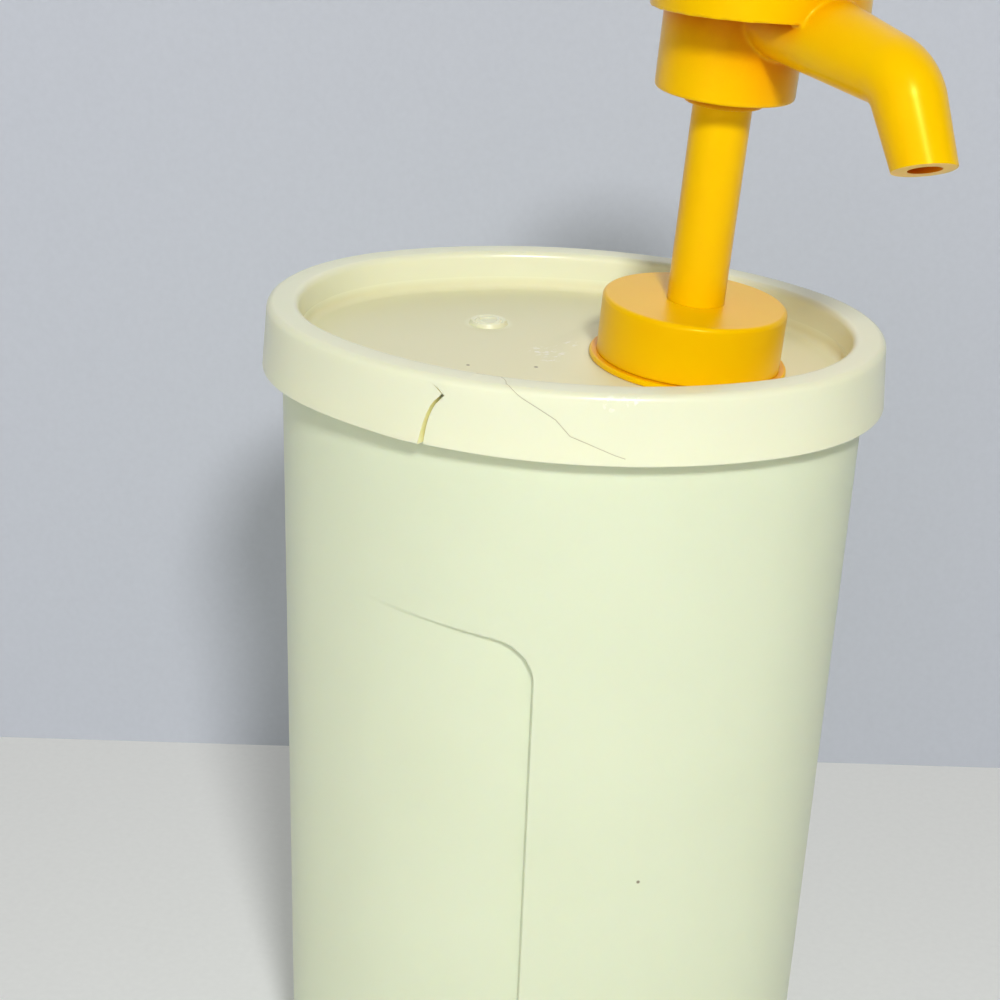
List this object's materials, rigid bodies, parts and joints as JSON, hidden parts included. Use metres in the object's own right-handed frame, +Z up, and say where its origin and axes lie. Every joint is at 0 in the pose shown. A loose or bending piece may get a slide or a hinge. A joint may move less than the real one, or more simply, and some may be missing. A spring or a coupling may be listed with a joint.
{
  "type": "syrup dispenser",
  "caption": "Oval plastic syrup cup with side grips and a press-on lid with a sunk tray, on which a sprung plunger pump with a swivelling bent spout stands near one end.",
  "frame": {"origin": "centre of the cup's resting face", "axes": "+Z up, +X along the oval's long axis towards the end where the pump stands"},
  "size_m": [0.1147, 0.085, 0.2267],
  "materials": {
    "cup_polyethylene": "blow-moulded, pale greenish ivory, softly shiny",
    "lid_polyethylene": "injection-moulded, cream, smooth",
    "pump_polypropylene": "injection-moulded, glossy yellow",
    "guide_polyethylene": "natural white, satin",
    "seal_rubber": "food-grade silicone, matt",
    "valve_steel": "stainless, bright drawn and ground",
    "tube_polyethylene": "extruded, milky translucent"
  },
  "bodies": {
    "cup": {"cup": "cup_polyethylene"},
    "lid": {"lid": "lid_polyethylene", "pump_body": "pump_polypropylene", "flange_gasket": "seal_rubber", "lock_nut": "pump_polypropylene", "rod_guide": "guide_polyethylene", "rod_wiper": "seal_rubber", "inlet_cage": "guide_polyethylene", "dip_tube": "tube_polyethylene", "spring": "valve_steel"},
    "collar": {"collar": "pump_polypropylene"},
    "plunger": {"rod": "pump_polypropylene", "piston": "guide_polyethylene", "piston_seal": "seal_rubber", "discharge_cage": "guide_polyethylene"},
    "head": {"head": "pump_polypropylene"},
    "discharge_ball": {"discharge_ball": "valve_steel"},
    "inlet_ball": {"inlet_ball": "valve_steel"}
  },
  "joints": [
    {"name": "lid_lift", "type": "slide", "parent": "cup", "child": "lid", "axis": [0, 0, 1], "range_m": [0, 0.175]},
    {"name": "collar_turn", "type": "hinge", "parent": "lid", "child": "collar", "pos_m": [0.0201, 0, 0.155], "axis": [0.0593, 0, 0.9982], "range_deg": [0, 360]},
    {"name": "pump_stroke", "type": "slide", "parent": "lid", "child": "plunger", "axis": [-0.0593, 0, -0.9982], "range_m": [0, 0.033], "stiffness_N_per_m": 250, "springref_m": -0.02, "deforming": ["spring"]},
    {"name": "head_turn", "type": "hinge", "parent": "plunger", "child": "head", "pos_m": [0.0201, 0, 0.155], "axis": [0.0593, 0, 0.9982], "continuous": true},
    {"name": "discharge_ball_lift", "type": "slide", "parent": "plunger", "child": "discharge_ball", "axis": [0.0593, 0, 0.9982], "range_m": [0, 0.0013]},
    {"name": "inlet_ball_lift", "type": "slide", "parent": "lid", "child": "inlet_ball", "axis": [0.0593, 0, 0.9982], "range_m": [0, 0.0016]}
  ]
}
